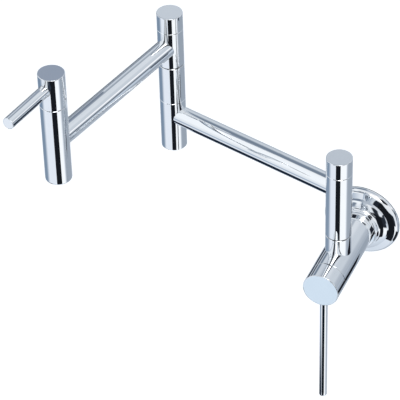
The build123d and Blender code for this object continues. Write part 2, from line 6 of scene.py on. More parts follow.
import json
import logging
import math
from dataclasses import dataclass
from enum import Enum
from typing import ClassVar

import bmesh
import bpy
from mathutils import Matrix, Vector

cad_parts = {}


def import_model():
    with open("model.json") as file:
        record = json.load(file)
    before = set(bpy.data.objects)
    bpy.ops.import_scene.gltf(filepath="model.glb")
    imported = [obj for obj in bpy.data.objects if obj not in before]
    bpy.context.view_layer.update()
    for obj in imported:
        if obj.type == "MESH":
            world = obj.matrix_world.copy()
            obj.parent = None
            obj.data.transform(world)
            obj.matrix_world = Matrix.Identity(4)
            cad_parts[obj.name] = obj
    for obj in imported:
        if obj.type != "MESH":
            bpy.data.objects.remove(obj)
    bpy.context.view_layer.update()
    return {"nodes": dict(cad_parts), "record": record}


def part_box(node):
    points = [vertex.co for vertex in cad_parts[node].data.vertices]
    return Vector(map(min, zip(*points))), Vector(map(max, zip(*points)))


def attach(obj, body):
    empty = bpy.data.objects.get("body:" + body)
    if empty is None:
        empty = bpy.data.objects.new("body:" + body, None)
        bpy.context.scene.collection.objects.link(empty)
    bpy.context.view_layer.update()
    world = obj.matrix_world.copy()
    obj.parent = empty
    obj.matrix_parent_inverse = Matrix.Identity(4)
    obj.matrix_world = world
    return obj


log = logging.getLogger("pot_filler")

Colour = tuple[float, float, float]
Point = tuple[float, float, float]
Node = bpy.types.Node
Socket = bpy.types.NodeSocket

MILLIMETRE = 0.001
INCH = 0.0254
ORIGIN = (0.0, 0.0, 0.0)
WHITE = (1.0, 1.0, 1.0)
OPAQUE = 1.0


# ---------------------------------------------------------------------------
# Node helpers
# ---------------------------------------------------------------------------


class Tree:
    """A node tree that is filled left to right."""

    # Where a Mix node that mixes colours takes its factor and two colours, and where it gives the mix.
    MIX_INPUTS: ClassVar[tuple[int, int, int]] = (0, 6, 7)
    MIX_OUTPUT: ClassVar[int] = 2

    def __init__(self, tree: bpy.types.NodeTree) -> None:
        """Wraps a tree.

        Args:
            tree: the node tree of a material, a world or a group.
        """
        self.tree = tree

    def add(self, kind: str, **values: object) -> Node:
        """Adds a node.

        Args:
            kind: the node's type name.
            values: properties of the node, by name.

        Returns:
            The new node.
        """
        node = self.tree.nodes.new(kind)
        for key, value in values.items():
            setattr(node, key, value)
        return node

    def fill(self, socket: Socket, value: object) -> None:
        """Gives one input its link or its value.

        Args:
            socket: the input.
            value: another node's output, a number, or a colour, which is made opaque.
        """
        if isinstance(value, Socket):
            self.tree.links.new(value, socket)
        elif isinstance(value, tuple):
            socket.default_value = (*value, OPAQUE)
        else:
            socket.default_value = value

    def feed(self, node: Node, **inputs: object) -> Node:
        """Fills inputs of a node with links or values.

        Args:
            node: the node whose inputs are filled.
            inputs: socket or value for each input, with spaces in the name written as underscores.

        Returns:
            The same node.
        """
        for key, value in inputs.items():
            self.fill(node.inputs[key.replace("_", " ")], value)
        return node

    def math(self, operation: str, first: object, second: object = 0.0) -> Socket:
        """Adds a Math node.

        Args:
            operation: the node's operation.
            first: socket or number for the first input.
            second: socket or number for the second input.

        Returns:
            The output socket.
        """
        node = self.add("ShaderNodeMath", operation=operation)
        self.fill(node.inputs[0], first)
        self.fill(node.inputs[1], second)
        return node.outputs[0]

    def weigh(self, share: float, first: Socket, second: Socket) -> Socket:
        """Adds two numbers, each by its share.

        Args:
            share: how much of the sum the first number makes up, from 0 to 1.
            first: the first number.
            second: the second number, which makes up the rest.

        Returns:
            The sum.
        """
        kept = self.math("MULTIPLY", first, share)
        return self.math("ADD", kept, self.math("MULTIPLY", second, 1.0 - share))

    def blend(self, factor: object, first: object, second: object) -> Socket:
        """Mixes two colours.

        Args:
            factor: socket or number, 0 for the first colour.
            first: socket or colour.
            second: socket or colour.

        Returns:
            The mixed colour.
        """
        node = self.add("ShaderNodeMix", data_type="RGBA", blend_type="MIX")
        for index, value in zip(self.MIX_INPUTS, (factor, first, second)):
            self.fill(node.inputs[index], value)
        return node.outputs[self.MIX_OUTPUT]

    def ramp(self, value: Socket, stops: tuple[tuple[float, Colour], ...]) -> Socket:
        """Colours a value.

        Args:
            value: the number that is looked up, from 0 to 1.
            stops: place and colour of each stop, lowest first.

        Returns:
            The colour.
        """
        node = self.add("ShaderNodeValToRGB")
        elements = node.color_ramp.elements
        while len(elements) < len(stops):
            elements.new(position=0.5)
        for element, (place, colour) in zip(elements, stops):
            element.position = place
            element.color = (*colour, OPAQUE)
        self.fill(node.inputs[0], value)
        return node.outputs[0]

    def rays(self, *kinds: str) -> Socket:
        """Tells some kinds of ray from the others.

        Args:
            kinds: outputs of the Light Path node, by name.

        Returns:
            1 for a ray of one of these kinds and 0 for any other.
        """
        path = self.add("ShaderNodeLightPath")
        found = path.outputs[kinds[0]]
        for kind in kinds[1:]:
            found = self.math("MAXIMUM", found, path.outputs[kind])
        return found


class Effect(Enum):
    """Surface effects that several finishes share, each a node group."""

    POLISH = "polish marks"
    TURNING = "turning marks"
    GRAIN = "fine grain"


class Effects:
    """Builds each shared effect once and places it in materials.

    Each group takes the coordinates, the lowest and highest roughness and numbers of its own. It puts
    out a Shade that mixes the two colours, a Roughness and a Height.
    """

    # The share of the first of two patterns in their mix, and how much finer the second one is.
    HAZE_SHARE: ClassVar[float] = 0.65
    HAIRLINE_FINENESS: ClassVar[float] = 4.0
    GRAIN_SHARE: ClassVar[float] = 0.7
    CELL_FINENESS: ClassVar[float] = 2.3
    # How much of the turned metal's shade its rings make up, under a haze of this scale.
    RING_SHARE: ClassVar[float] = 0.8
    TURNED_HAZE_SCALE: ClassVar[float] = 220.0

    def __init__(self) -> None:
        """Builds the three groups."""
        self.groups = {
            Effect.POLISH: self._polish(),
            Effect.TURNING: self._turning(),
            Effect.GRAIN: self._grain(),
        }

    @staticmethod
    def _open(effect: Effect, **numbers: float) -> tuple[Tree, Node]:
        """Starts a group.

        Args:
            effect: which effect the group is.
            numbers: starting value of each number of its own.

        Returns:
            The tree and its input node.
        """
        group = bpy.data.node_groups.new(effect.value, "ShaderNodeTree")
        group.interface.new_socket("Vector", in_out="INPUT", socket_type="NodeSocketVector")
        for name, value in {"Low": 0.0, "High": 1.0, **numbers}.items():
            socket = group.interface.new_socket(name, in_out="INPUT", socket_type="NodeSocketFloat")
            socket.default_value = value
        for name in ("Shade", "Roughness", "Height"):
            group.interface.new_socket(name, in_out="OUTPUT", socket_type="NodeSocketFloat")
        tree = Tree(group)
        return tree, tree.add("NodeGroupInput")

    @staticmethod
    def _close(tree: Tree, given: Node, shade: Socket, marks: Socket, height: Socket) -> bpy.types.NodeTree:
        """Spreads the roughness over the marks and fills the group's outputs.

        Args:
            tree: the group's tree.
            given: its input node.
            shade: what mixes the two colours, from 0 to 1.
            marks: what spreads the roughness, from 0 to 1.
            height: the height of the surface, from 0 to 1.

        Returns:
            The finished group.
        """
        spread = tree.math("SUBTRACT", given.outputs["High"], given.outputs["Low"])
        rough = tree.math("ADD", given.outputs["Low"], tree.math("MULTIPLY", marks, spread))
        tree.feed(tree.add("NodeGroupOutput"), Shade=shade, Roughness=rough, Height=height)
        return tree.tree

    def _polish(self) -> bpy.types.NodeTree:
        """Buffing haze and hairlines of a polished and plated surface.

        Returns:
            The group.
        """
        tree, given = self._open(Effect.POLISH, Scale=60.0, Stretch=12.0)
        vector, scale = given.outputs["Vector"], given.outputs["Scale"]
        haze = tree.add("ShaderNodeTexNoise")
        tree.feed(haze, Vector=vector, Scale=scale, Detail=3.0, Roughness=0.55)
        along = tree.feed(tree.add("ShaderNodeCombineXYZ"), X=1.0, Y=1.0, Z=given.outputs["Stretch"])
        stretched = tree.add("ShaderNodeVectorMath", operation="MULTIPLY")
        tree.fill(stretched.inputs[0], vector)
        tree.fill(stretched.inputs[1], along.outputs[0])
        lines = tree.add("ShaderNodeTexNoise")
        fine = tree.math("MULTIPLY", scale, self.HAIRLINE_FINENESS)
        tree.feed(lines, Vector=stretched.outputs[0], Scale=fine, Detail=2.0, Roughness=0.6)
        marks = tree.weigh(self.HAZE_SHARE, haze.outputs[0], lines.outputs[0])
        return self._close(tree, given, haze.outputs[0], marks, haze.outputs[0])

    def _turning(self) -> bpy.types.NodeTree:
        """Rings that a lathe leaves round a piece's axis, on its faces and along its length.

        Returns:
            The group.
        """
        tree, given = self._open(Effect.TURNING, Pitch=4000.0, Waver=0.2)
        vector = given.outputs["Vector"]
        parts = tree.feed(tree.add("ShaderNodeSeparateXYZ"), Vector=vector)
        squares = [tree.math("MULTIPLY", part, part) for part in parts.outputs[:2]]
        radius = tree.math("SQRT", tree.math("ADD", *squares))
        place = tree.math("ADD", radius, parts.outputs[2])
        haze = tree.add("ShaderNodeTexNoise")
        tree.feed(haze, Vector=vector, Scale=self.TURNED_HAZE_SCALE, Detail=2.0)
        wave = tree.math("SINE", tree.math("MULTIPLY", place, given.outputs["Pitch"]))
        # The wave runs from -1 to 1, and the rings from 0 to 1.
        rings = tree.math("ADD", tree.math("MULTIPLY", wave, 0.5), 0.5)
        noisy = tree.math("MULTIPLY", haze.outputs[0], given.outputs["Waver"])
        mask = tree.math("ADD", tree.math("MULTIPLY", rings, self.RING_SHARE), noisy)
        return self._close(tree, given, mask, mask, rings)

    def _grain(self) -> bpy.types.NodeTree:
        """Fine even grain, as on moulded plastic, rubber and fired ceramic.

        Returns:
            The group.
        """
        tree, given = self._open(Effect.GRAIN, Scale=900.0)
        vector, scale = given.outputs["Vector"], given.outputs["Scale"]
        coarse = tree.add("ShaderNodeTexNoise")
        tree.feed(coarse, Vector=vector, Scale=scale, Detail=4.0, Roughness=0.6)
        cells = tree.add("ShaderNodeTexVoronoi", feature="F1")
        tree.feed(cells, Vector=vector, Scale=tree.math("MULTIPLY", scale, self.CELL_FINENESS))
        height = tree.weigh(self.GRAIN_SHARE, coarse.outputs[0], cells.outputs[0])
        return self._close(tree, given, coarse.outputs[0], coarse.outputs[0], height)

    def place(self, tree: Tree, effect: Effect, **inputs: object) -> Node:
        """Places an effect in a material.

        Args:
            tree: the material's tree.
            effect: which effect.
            inputs: values or sockets of the group's inputs.

        Returns:
            The group node.
        """
        node = tree.add("ShaderNodeGroup")
        node.node_tree = self.groups[effect]
        return tree.feed(node, **inputs)


# ---------------------------------------------------------------------------
# Finishes
# ---------------------------------------------------------------------------


@dataclass(frozen=True)
class Finish:
    """How one material of the tap looks, here with the fine grain of what is moulded or fired.

    The effect mixes the two colours and spreads the roughness from low to high. The bump is the
    strength of its relief. Other kinds of finish have an effect of their own.
    """

    colour: Colour
    second: Colour
    metallic: float
    low: float
    high: float
    bump: float

    effect: ClassVar[Effect] = Effect.GRAIN
    relief: ClassVar[float] = 0.04 * MILLIMETRE
    grain_scale: ClassVar[float] = 700.0

    def numbers(self) -> dict[str, float]:
        """Gives the effect's own numbers."""
        return {"Scale": self.grain_scale}

    def material(self, name: str, effects: Effects, centre: Point, turn: Point) -> bpy.types.Material:
        """Makes the material of one piece.

        Args:
            name: the material's name.
            effects: the shared effects.
            centre: a point on the piece's own axis.
            turn: Euler angles, in radians, that bring the pattern's Z along the piece's axis.

        Returns:
            The material.
        """
        made = bpy.data.materials.new(name)
        made.use_nodes = True
        tree = Tree(made.node_tree)
        place = tree.add("ShaderNodeTexCoord")
        mapping = tree.add("ShaderNodeMapping", vector_type="TEXTURE")
        tree.feed(mapping, Vector=place.outputs["Object"])
        mapping.inputs["Location"].default_value = centre
        mapping.inputs["Rotation"].default_value = turn
        marks = effects.place(
            tree, self.effect, Vector=mapping.outputs[0], Low=self.low, High=self.high, **self.numbers()
        )
        bump = tree.add("ShaderNodeBump")
        tree.feed(bump, Strength=self.bump, Distance=self.relief, Height=marks.outputs["Height"])
        tree.feed(
            made.node_tree.nodes["Principled BSDF"],
            Base_Color=tree.blend(marks.outputs["Shade"], self.colour, self.second),
            Metallic=self.metallic,
            Roughness=marks.outputs["Roughness"],
            Normal=bump.outputs["Normal"],
        )
        return made


@dataclass(frozen=True)
class PolishedChrome(Finish):
    """Bright chrome plate over brass, buffed before plating."""

    effect: ClassVar[Effect] = Effect.POLISH
    relief: ClassVar[float] = 0.004 * MILLIMETRE
    mark_scale: ClassVar[float] = 70.0

    def numbers(self) -> dict[str, float]:
        """Gives the effect's own numbers."""
        return {"Scale": self.mark_scale}


@dataclass(frozen=True)
class TurnedMetal(Finish):
    """Metal left as the lathe cut it."""

    pitch: float = 9000.0

    effect: ClassVar[Effect] = Effect.TURNING
    relief: ClassVar[float] = 0.02 * MILLIMETRE

    def numbers(self) -> dict[str, float]:
        """Gives the effect's own numbers."""
        return {"Pitch": self.pitch}


# Colour, second colour, metallic, lowest and highest roughness, bump, and the pitch of a turned metal.
CHROME = PolishedChrome((0.82, 0.845, 0.875), (0.86, 0.88, 0.90), 1.0, 0.015, 0.04, 0.05)
BRASS = TurnedMetal((0.78, 0.56, 0.24), (0.66, 0.45, 0.17), 1.0, 0.22, 0.38, 0.35)
STEEL = TurnedMetal((0.60, 0.60, 0.59), (0.48, 0.48, 0.48), 1.0, 0.24, 0.42, 0.3, 7000.0)
BLACKENED_STEEL = TurnedMetal((0.06, 0.06, 0.065), (0.10, 0.10, 0.10), 1.0, 0.35, 0.55, 0.3, 7000.0)
RUBBER = Finish((0.020, 0.020, 0.021), (0.034, 0.034, 0.035), 0.0, 0.52, 0.72, 0.5)
GASKET_RUBBER = Finish((0.055, 0.056, 0.058), (0.085, 0.086, 0.088), 0.0, 0.58, 0.80, 0.6)
DARK_ACETAL = Finish((0.030, 0.031, 0.033), (0.050, 0.051, 0.053), 0.0, 0.34, 0.50, 0.3)
PALE_ACETAL = Finish((0.72, 0.73, 0.72), (0.80, 0.80, 0.79), 0.0, 0.32, 0.46, 0.3)
ALUMINA = Finish((0.86, 0.85, 0.82), (0.92, 0.91, 0.89), 0.0, 0.12, 0.22, 0.1)


# ---------------------------------------------------------------------------
# Mesh helpers
# ---------------------------------------------------------------------------


def new_object(name: str, shape: bmesh.types.BMesh, material: bpy.types.Material) -> bpy.types.Object:
    """Puts a shape into the scene.

    Args:
        name: the object's name.
        shape: its shape, which is used up.
        material: its material.

    Returns:
        The object.
    """
    mesh = bpy.data.meshes.new(name)
    shape.to_mesh(mesh)
    shape.free()
    mesh.materials.append(material)
    thing = bpy.data.objects.new(name, mesh)
    bpy.context.scene.collection.objects.link(thing)
    return thing


def rectangle(width: float, height: float, place: Matrix) -> bmesh.types.BMesh:
    """Makes a flat rectangle of one face.

    Args:
        width: its side along its own X.
        height: its side along its own Y.
        place: where its middle goes and how it is turned.

    Returns:
        The shape.
    """
    shape = bmesh.new()
    # A grid of this size reaches half a metre to each side.
    bmesh.ops.create_grid(shape, x_segments=1, y_segments=1, size=0.5)
    bmesh.ops.scale(shape, vec=(width, height, 1.0), verts=shape.verts)
    bmesh.ops.transform(shape, matrix=place, verts=shape.verts)
    return shape


# ---------------------------------------------------------------------------
# Sub-assemblies
# ---------------------------------------------------------------------------


class Lie(Enum):
    """Which way a piece's own axis runs, and its finish with it."""

    UP = "up"
    OUT = "out of the wall"
    ALONG = "along the arm, lever or screw"


@dataclass(frozen=True)
class Piece:
    """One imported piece: its node, its finish and the way its axis runs."""

    node: str
    finish: Finish
    lie: Lie = Lie.UP


@dataclass
class SubAssembly:
    """Pieces that move together on one body.

    The heading is the way that its arm, lever or screw points, in degrees from +X towards +Y.
    """

    body: str = ""
    heading: float = 0.0

    def pieces(self) -> tuple[Piece, ...]:
        """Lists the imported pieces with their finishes."""
        return ()

    def build(self, record: dict, effects: Effects) -> list[bpy.types.Object]:
        """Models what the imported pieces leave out.

        Args:
            record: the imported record.
            effects: the shared effects.

        Returns:
            The new pieces, each on its body and in its finish.
        """
        return []

    def turn(self, lie: Lie) -> Point:
        """Finds the turn that brings a finish's Z onto a piece's own axis.

        Args:
            lie: which way the axis runs.

        Returns:
            The turn as Euler angles in radians.
        """
        turns = {
            Lie.UP: (0.0, 0.0, 0.0),
            Lie.OUT: (90.0, 0.0, 0.0),
            Lie.ALONG: (0.0, 90.0, self.heading),
        }
        return tuple(map(math.radians, turns[lie]))

    def dress(self, nodes: dict[str, bpy.types.Object], effects: Effects) -> int:
        """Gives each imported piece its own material.

        Args:
            nodes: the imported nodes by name.
            effects: the shared effects.

        Returns:
            How many pieces were dressed.
        """
        listed = self.pieces()
        for piece in listed:
            low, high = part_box(piece.node)
            centre = tuple((low + high) / 2)
            made = piece.finish.material(f"{piece.node}_finish", effects, centre, self.turn(piece.lie))
            worn = nodes[piece.node].data.materials
            worn.clear()
            worn.append(made)
            log.info("%s: %s wears %s", self.body, piece.node, type(piece.finish).__name__)
        return len(listed)


@dataclass
class WallBody(SubAssembly):
    """What stays on the wall: flange, bracket, inlet, valve body and the wall post's spindle.

    The inlet's thread is cut in the brass, 14 turns to the inch.
    """

    body: str = "wall_body"
    threads_per_inch: int = 14
    thread_depth: float = 0.0010
    thread_root: float = 0.0002
    thread_flank: float = 0.0008
    thread_lead_in: float = 0.0012
    steps_per_turn: int = 40

    def pieces(self) -> tuple[Piece, ...]:
        """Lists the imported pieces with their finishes."""
        return (
            Piece("wall_flange", CHROME, Lie.OUT),
            Piece("wall_gasket", GASKET_RUBBER, Lie.OUT),
            Piece("wall_bracket", STEEL, Lie.OUT),
            Piece("inlet_shank", BRASS, Lie.OUT),
            Piece("shank_lock_nut", BRASS, Lie.OUT),
            Piece("inlet_strainer", STEEL, Lie.OUT),
            Piece("shank_washer", RUBBER, Lie.OUT),
            Piece("flange_set_screw", BLACKENED_STEEL),
            Piece("valve_body", CHROME, Lie.OUT),
            Piece("front_cartridge_body", BRASS, Lie.OUT),
            Piece("front_cartridge_seal", RUBBER, Lie.OUT),
            Piece("front_fixed_disc", ALUMINA, Lie.OUT),
            Piece("wall_spindle", BRASS),
            Piece("wall_spindle_orings", RUBBER),
            Piece("wall_swivel_washer", DARK_ACETAL),
            Piece("wall_retaining_washer", STEEL),
            Piece("wall_retaining_nut", BRASS),
        )

    def build(self, record: dict, effects: Effects) -> list[bpy.types.Object]:
        """Cuts the inlet's thread.

        Args:
            record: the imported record.
            effects: the shared effects.

        Returns:
            The thread alone.
        """
        inlet = next(mount for mount in record["mounts"] if mount["name"] == "supply_inlet")["dims"]
        return [self.inlet_thread(inlet["r_mm"] * MILLIMETRE, inlet["length_mm"] * MILLIMETRE, effects)]

    def inlet_thread(self, bore: float, length: float, effects: Effects) -> bpy.types.Object:
        """Winds the thread's ridge round the inside of the inlet.

        Args:
            bore: the inlet's radius.
            length: how deep the inlet goes.
            effects: the shared effects.

        Returns:
            The thread.
        """
        pitch = INCH / self.threads_per_inch
        turns = math.floor((length - 2 * self.thread_lead_in) / pitch)
        start = -self.thread_lead_in
        shape = bmesh.new()
        corners = (
            (bore + self.thread_root, start + self.thread_flank),
            (bore - self.thread_depth, start),
            (bore + self.thread_root, start - self.thread_flank),
        )
        profile = shape.faces.new([shape.verts.new((radius, out, 0.0)) for radius, out in corners])
        bmesh.ops.spin(
            shape,
            geom=[profile, *profile.edges, *profile.verts],
            cent=ORIGIN,
            axis=(0.0, -1.0, 0.0),
            dvec=(0.0, -pitch / self.steps_per_turn, 0.0),
            angle=math.tau * turns,
            steps=turns * self.steps_per_turn,
            use_merge=False,
        )
        bmesh.ops.recalc_face_normals(shape, faces=shape.faces)
        return add_piece("inlet_thread", shape, self, BRASS, Lie.OUT, effects)


@dataclass
class InnerArm(SubAssembly):
    """The arm that turns on the wall post's spindle, with the lower half of the middle post."""

    body: str = "inner_arm_body"
    heading: float = 164.5

    def pieces(self) -> tuple[Piece, ...]:
        """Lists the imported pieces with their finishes."""
        return (
            Piece("wall_post", CHROME),
            Piece("wall_post_cap", CHROME),
            Piece("inner_arm", CHROME, Lie.ALONG),
            Piece("middle_post_lower", CHROME),
            Piece("middle_bottom_plug", CHROME),
            Piece("middle_sleeve", CHROME),
            Piece("middle_spindle", BRASS),
            Piece("middle_spindle_orings", RUBBER),
            Piece("middle_swivel_washer", DARK_ACETAL),
            Piece("middle_retaining_washer", STEEL),
            Piece("middle_retaining_nut", BRASS),
        )


@dataclass
class OuterArm(SubAssembly):
    """The arm that carries the spout, with the upper half of the middle post."""

    body: str = "outer_arm_body"
    heading: float = -101.9

    def pieces(self) -> tuple[Piece, ...]:
        """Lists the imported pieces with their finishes."""
        return (
            Piece("middle_post_upper", CHROME),
            Piece("middle_post_cap", CHROME),
            Piece("outer_arm", CHROME, Lie.ALONG),
            Piece("spout_post", CHROME),
            Piece("spout_cartridge_body", BRASS),
            Piece("spout_cartridge_seal", RUBBER),
            Piece("spout_fixed_disc", ALUMINA),
            Piece("aerator_housing", CHROME),
            Piece("aerator_insert", PALE_ACETAL),
            Piece("aerator_washer", RUBBER),
        )


@dataclass
class FrontHandle(SubAssembly):
    """The shut-off handle on the front of the valve body. Its grub screw points to the left."""

    body: str = "front_handle_body"
    heading: float = 180.0

    def pieces(self) -> tuple[Piece, ...]:
        """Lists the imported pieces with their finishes."""
        return (
            Piece("front_handle", CHROME, Lie.OUT),
            Piece("front_lever", CHROME),
            Piece("front_handle_set_screw", BLACKENED_STEEL, Lie.ALONG),
            Piece("front_stem", BRASS, Lie.OUT),
            Piece("front_moving_disc", ALUMINA, Lie.OUT),
            Piece("front_stem_orings", RUBBER, Lie.OUT),
            Piece("front_stem_clip", STEEL, Lie.OUT),
        )


@dataclass
class SpoutHandle(SubAssembly):
    """The handle on top of the spout post, whose lever points into the room."""

    body: str = "spout_handle_body"
    heading: float = -99.4

    def pieces(self) -> tuple[Piece, ...]:
        """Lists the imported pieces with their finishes."""
        return (
            Piece("spout_handle", CHROME),
            Piece("spout_lever", CHROME, Lie.ALONG),
            Piece("spout_handle_set_screw", BLACKENED_STEEL, Lie.ALONG),
            Piece("spout_stem", BRASS),
            Piece("spout_moving_disc", ALUMINA),
            Piece("spout_stem_orings", RUBBER),
            Piece("spout_stem_clip", STEEL),
        )


def add_piece(
    name: str,
    shape: bmesh.types.BMesh,
    owner: SubAssembly,
    finish: Finish,
    lie: Lie,
    effects: Effects,
) -> bpy.types.Object:
    """Makes a piece of a finished shape, dresses it and lets it ride on its body.

    Args:
        name: the piece's name.
        shape: its shape, which is used up.
        owner: the sub-assembly that it belongs to.
        finish: its finish.
        lie: which way its axis runs.
        effects: the shared effects.

    Returns:
        The piece.
    """
    made = finish.material(f"{name}_finish", effects, ORIGIN, owner.turn(lie))
    piece = new_object(name, shape, made)
    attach(piece, owner.body)
    log.info("%s: %s was modelled with %d faces", owner.body, name, len(piece.data.polygons))
    return piece


# ---------------------------------------------------------------------------
# Camera and studio
# ---------------------------------------------------------------------------


@dataclass(frozen=True)
class PhotoCamera:
    """The photograph's camera, found by fitting the posts, arms, body and flange to their outlines.

    Its place is in post radii from the wall post's axis at the height of the valve. The lens and the
    sensor are in millimetres.
    """

    azimuth: float = 24.0743
    elevation: float = 39.0
    roll: float = -1.7714
    right: float = 10.5358
    down: float = 4.6087
    away: float = 191.2941
    post_radius: float = 0.016
    post_from_wall: float = 0.088
    lens: float = 225.54
    sensor: float = 36.0
    nearest: float = 0.05
    farthest: float = 60.0

    def build(self) -> None:
        """Makes the camera and has the scene look through it."""
        azimuth, elevation, roll = map(math.radians, (self.azimuth, self.elevation, self.roll))
        back = Vector(
            (
                math.sin(azimuth) * math.cos(elevation),
                -math.cos(azimuth) * math.cos(elevation),
                math.sin(elevation),
            )
        )
        level = Vector((math.cos(azimuth), math.sin(azimuth), 0.0))
        upward = level.cross(-back)
        side = level * math.cos(roll) + upward * math.sin(roll)
        top = upward * math.cos(roll) - level * math.sin(roll)
        place = (top * self.down - side * self.right + back * self.away) * self.post_radius
        place += Vector((0.0, -self.post_from_wall, 0.0))
        camera = bpy.data.objects.new("photo_camera", bpy.data.cameras.new("photo_camera"))
        camera.matrix_world = Matrix.Translation(place) @ Matrix((side, top, back)).transposed().to_4x4()
        camera.data.lens = self.lens
        camera.data.sensor_width = self.sensor
        camera.data.clip_start = self.nearest
        camera.data.clip_end = self.farthest
        bpy.context.scene.collection.objects.link(camera)
        bpy.context.scene.camera = camera


@dataclass(frozen=True)
class Card:
    """A flat studio card that shows only in reflections, where it has its plain colour."""

    name: str
    centre: Point
    width: float
    height: float
    facing: Point
    colour: Colour

    def build(self) -> None:
        """Makes the card and turns it to face its way."""
        turn = Vector(self.facing).to_track_quat("Z", "Y").to_matrix().to_4x4()
        shape = rectangle(self.width, self.height, Matrix.Translation(self.centre) @ turn)
        card = new_object(self.name, shape, self.material())
        card.visible_camera = False
        card.visible_diffuse = False
        card.visible_shadow = False

    def material(self) -> bpy.types.Material:
        """Makes a material that glows in the card's colour.

        Returns:
            The material.
        """
        made = bpy.data.materials.new(self.name)
        made.use_nodes = True
        made.node_tree.nodes.clear()
        tree = Tree(made.node_tree)
        glow = tree.feed(tree.add("ShaderNodeEmission"), Color=self.colour)
        tree.feed(tree.add("ShaderNodeOutputMaterial"), Surface=glow.outputs[0])
        return made


@dataclass(frozen=True)
class Floor:
    """The pale floor far below the tap. Its lift is how much it glows where it is seen."""

    name: str = "studio_floor"
    height: float = -1.2
    size: float = 14.0
    colour: Colour = (0.80, 0.81, 0.82)
    roughness: float = 0.9
    lift: float = 0.45

    def build(self) -> None:
        """Makes the floor, which the chrome doesn't mirror: it mirrors the room's low panels."""
        shape = rectangle(self.size, self.size, Matrix.Translation((0.0, 0.0, self.height)))
        floor = new_object(self.name, shape, self.material())
        floor.visible_glossy = False

    def material(self) -> bpy.types.Material:
        """Makes a matt material that stays pale where it is seen.

        Returns:
            The material.
        """
        made = bpy.data.materials.new(self.name)
        made.use_nodes = True
        tree = Tree(made.node_tree)
        seen = tree.rays("Is Camera Ray", "Is Transmission Ray", "Is Glossy Ray")
        tree.feed(
            made.node_tree.nodes["Principled BSDF"],
            Base_Color=self.colour,
            Roughness=self.roughness,
            Emission_Color=WHITE,
            Emission_Strength=tree.math("MULTIPLY", seen, self.lift),
        )
        return made


@dataclass(frozen=True)
class Softbox:
    """A soft rectangular lamp, whose power is in watts."""

    name: str
    place: Point
    target: Point
    width: float
    height: float
    power: float

    def build(self) -> None:
        """Makes the lamp and points it at its target."""
        light = bpy.data.lights.new(self.name, "AREA")
        light.shape = "RECTANGLE"
        light.size = self.width
        light.size_y = self.height
        light.energy = self.power
        lamp = bpy.data.objects.new(self.name, light)
        aim = Vector(self.target) - Vector(self.place)
        lamp.location = self.place
        lamp.rotation_euler = aim.to_track_quat("-Z", "Y").to_euler()
        lamp.visible_camera = False
        bpy.context.scene.collection.objects.link(lamp)


@dataclass(frozen=True)
class RoomPanel:
    """A soft-edged light or dark panel of the room, far away, as the tap sees it.

    Azimuth 0 is in front of the wall, 90 to the right and 180 behind it.
    """

    name: str
    azimuth: float
    elevation: float
    half_width: float
    half_height: float
    colour: Colour
    soft: float

    def mask(self, tree: Tree, azimuth: Socket, elevation: Socket) -> Socket:
        """Says how much of the panel a direction meets.

        Args:
            tree: the world's tree.
            azimuth: the direction's azimuth in radians.
            elevation: the direction's elevation in radians.

        Returns:
            A number from 0 to 1.
        """
        turned = tree.math("SUBTRACT", azimuth, math.radians(self.azimuth))
        wrap = tree.add("ShaderNodeMath", operation="WRAP")
        for socket, value in zip(wrap.inputs, (turned, math.pi, -math.pi)):
            tree.fill(socket, value)
        across = self._edge(tree, tree.math("ABSOLUTE", wrap.outputs[0]), self.half_width)
        raised = tree.math("SUBTRACT", elevation, math.radians(self.elevation))
        along = self._edge(tree, tree.math("ABSOLUTE", raised), self.half_height)
        return tree.math("MULTIPLY", across, along)

    def _edge(self, tree: Tree, distance: Socket, half: float) -> Socket:
        """Falls from 1 to 0 over the panel's soft edge.

        Args:
            tree: the world's tree.
            distance: angle from the panel's middle in radians.
            half: the panel's half size.

        Returns:
            A number from 0 to 1.
        """
        fall = tree.add("ShaderNodeMapRange", interpolation_type="SMOOTHSTEP")
        tree.feed(
            fall,
            Value=distance,
            From_Min=math.radians(half - self.soft / 2),
            From_Max=math.radians(half + self.soft / 2),
            To_Min=1.0,
            To_Max=0.0,
        )
        return fall.outputs[0]


# Dark colours that several cards and panels share.
BLACK_CLOTH = (0.02, 0.025, 0.035)
DARK_CLOTH = (0.03, 0.04, 0.06)
NIGHT_CLOTH = (0.02, 0.03, 0.05)

# Name, centre, width, height, the way it faces and colour.
CARDS = (
    Card("black_card", (0.140, -0.918, -0.62), 0.640, 1.04, (-0.415, 0.91, 0.0), (0.010, 0.012, 0.016)),
    Card("grey_card", (-0.395, -0.02, 0.50), 0.15, 0.12, (0.29, -0.72, -0.59), (0.33, 0.38, 0.47)),
    Card("face_card", (-0.475, -1.419, -1.183), 0.10, 0.10, (0.264, 0.706, 0.657), (0.75, 0.87, 0.99)),
    Card("joint_card", (-0.119, 0.009, 0.188), 0.030, 0.020, (-0.875, -0.459, 0.148), NIGHT_CLOTH),
    Card("rim_card", (-0.380, -0.020, 0.370), 0.10, 0.095, (0.655, -0.139, -0.744), (0.21, 0.25, 0.32)),
    Card("lever_card", (0.0045, -0.1667, -0.127), 0.046, 0.160, (-0.151, 0.9885, 0.0), (0.006, 0.010, 0.016)),
    Card("spout_lever_card", (-0.2892, -0.2989, 0.2916), 0.058, 0.009, (-0.633, 0.101, 0.767), DARK_CLOTH),
    Card("collar_card", (0.105, 0.005, -0.105), 0.11, 0.06, (-0.766, -0.10, 0.63), (0.012, 0.014, 0.020)),
)

# Name, place, target, width, height and power.
LAMPS = (Softbox("key_softbox", (1.2, -2.0, 2.4), (-0.1, -0.1, 0.1), 1.4, 1.4, 20.0),)

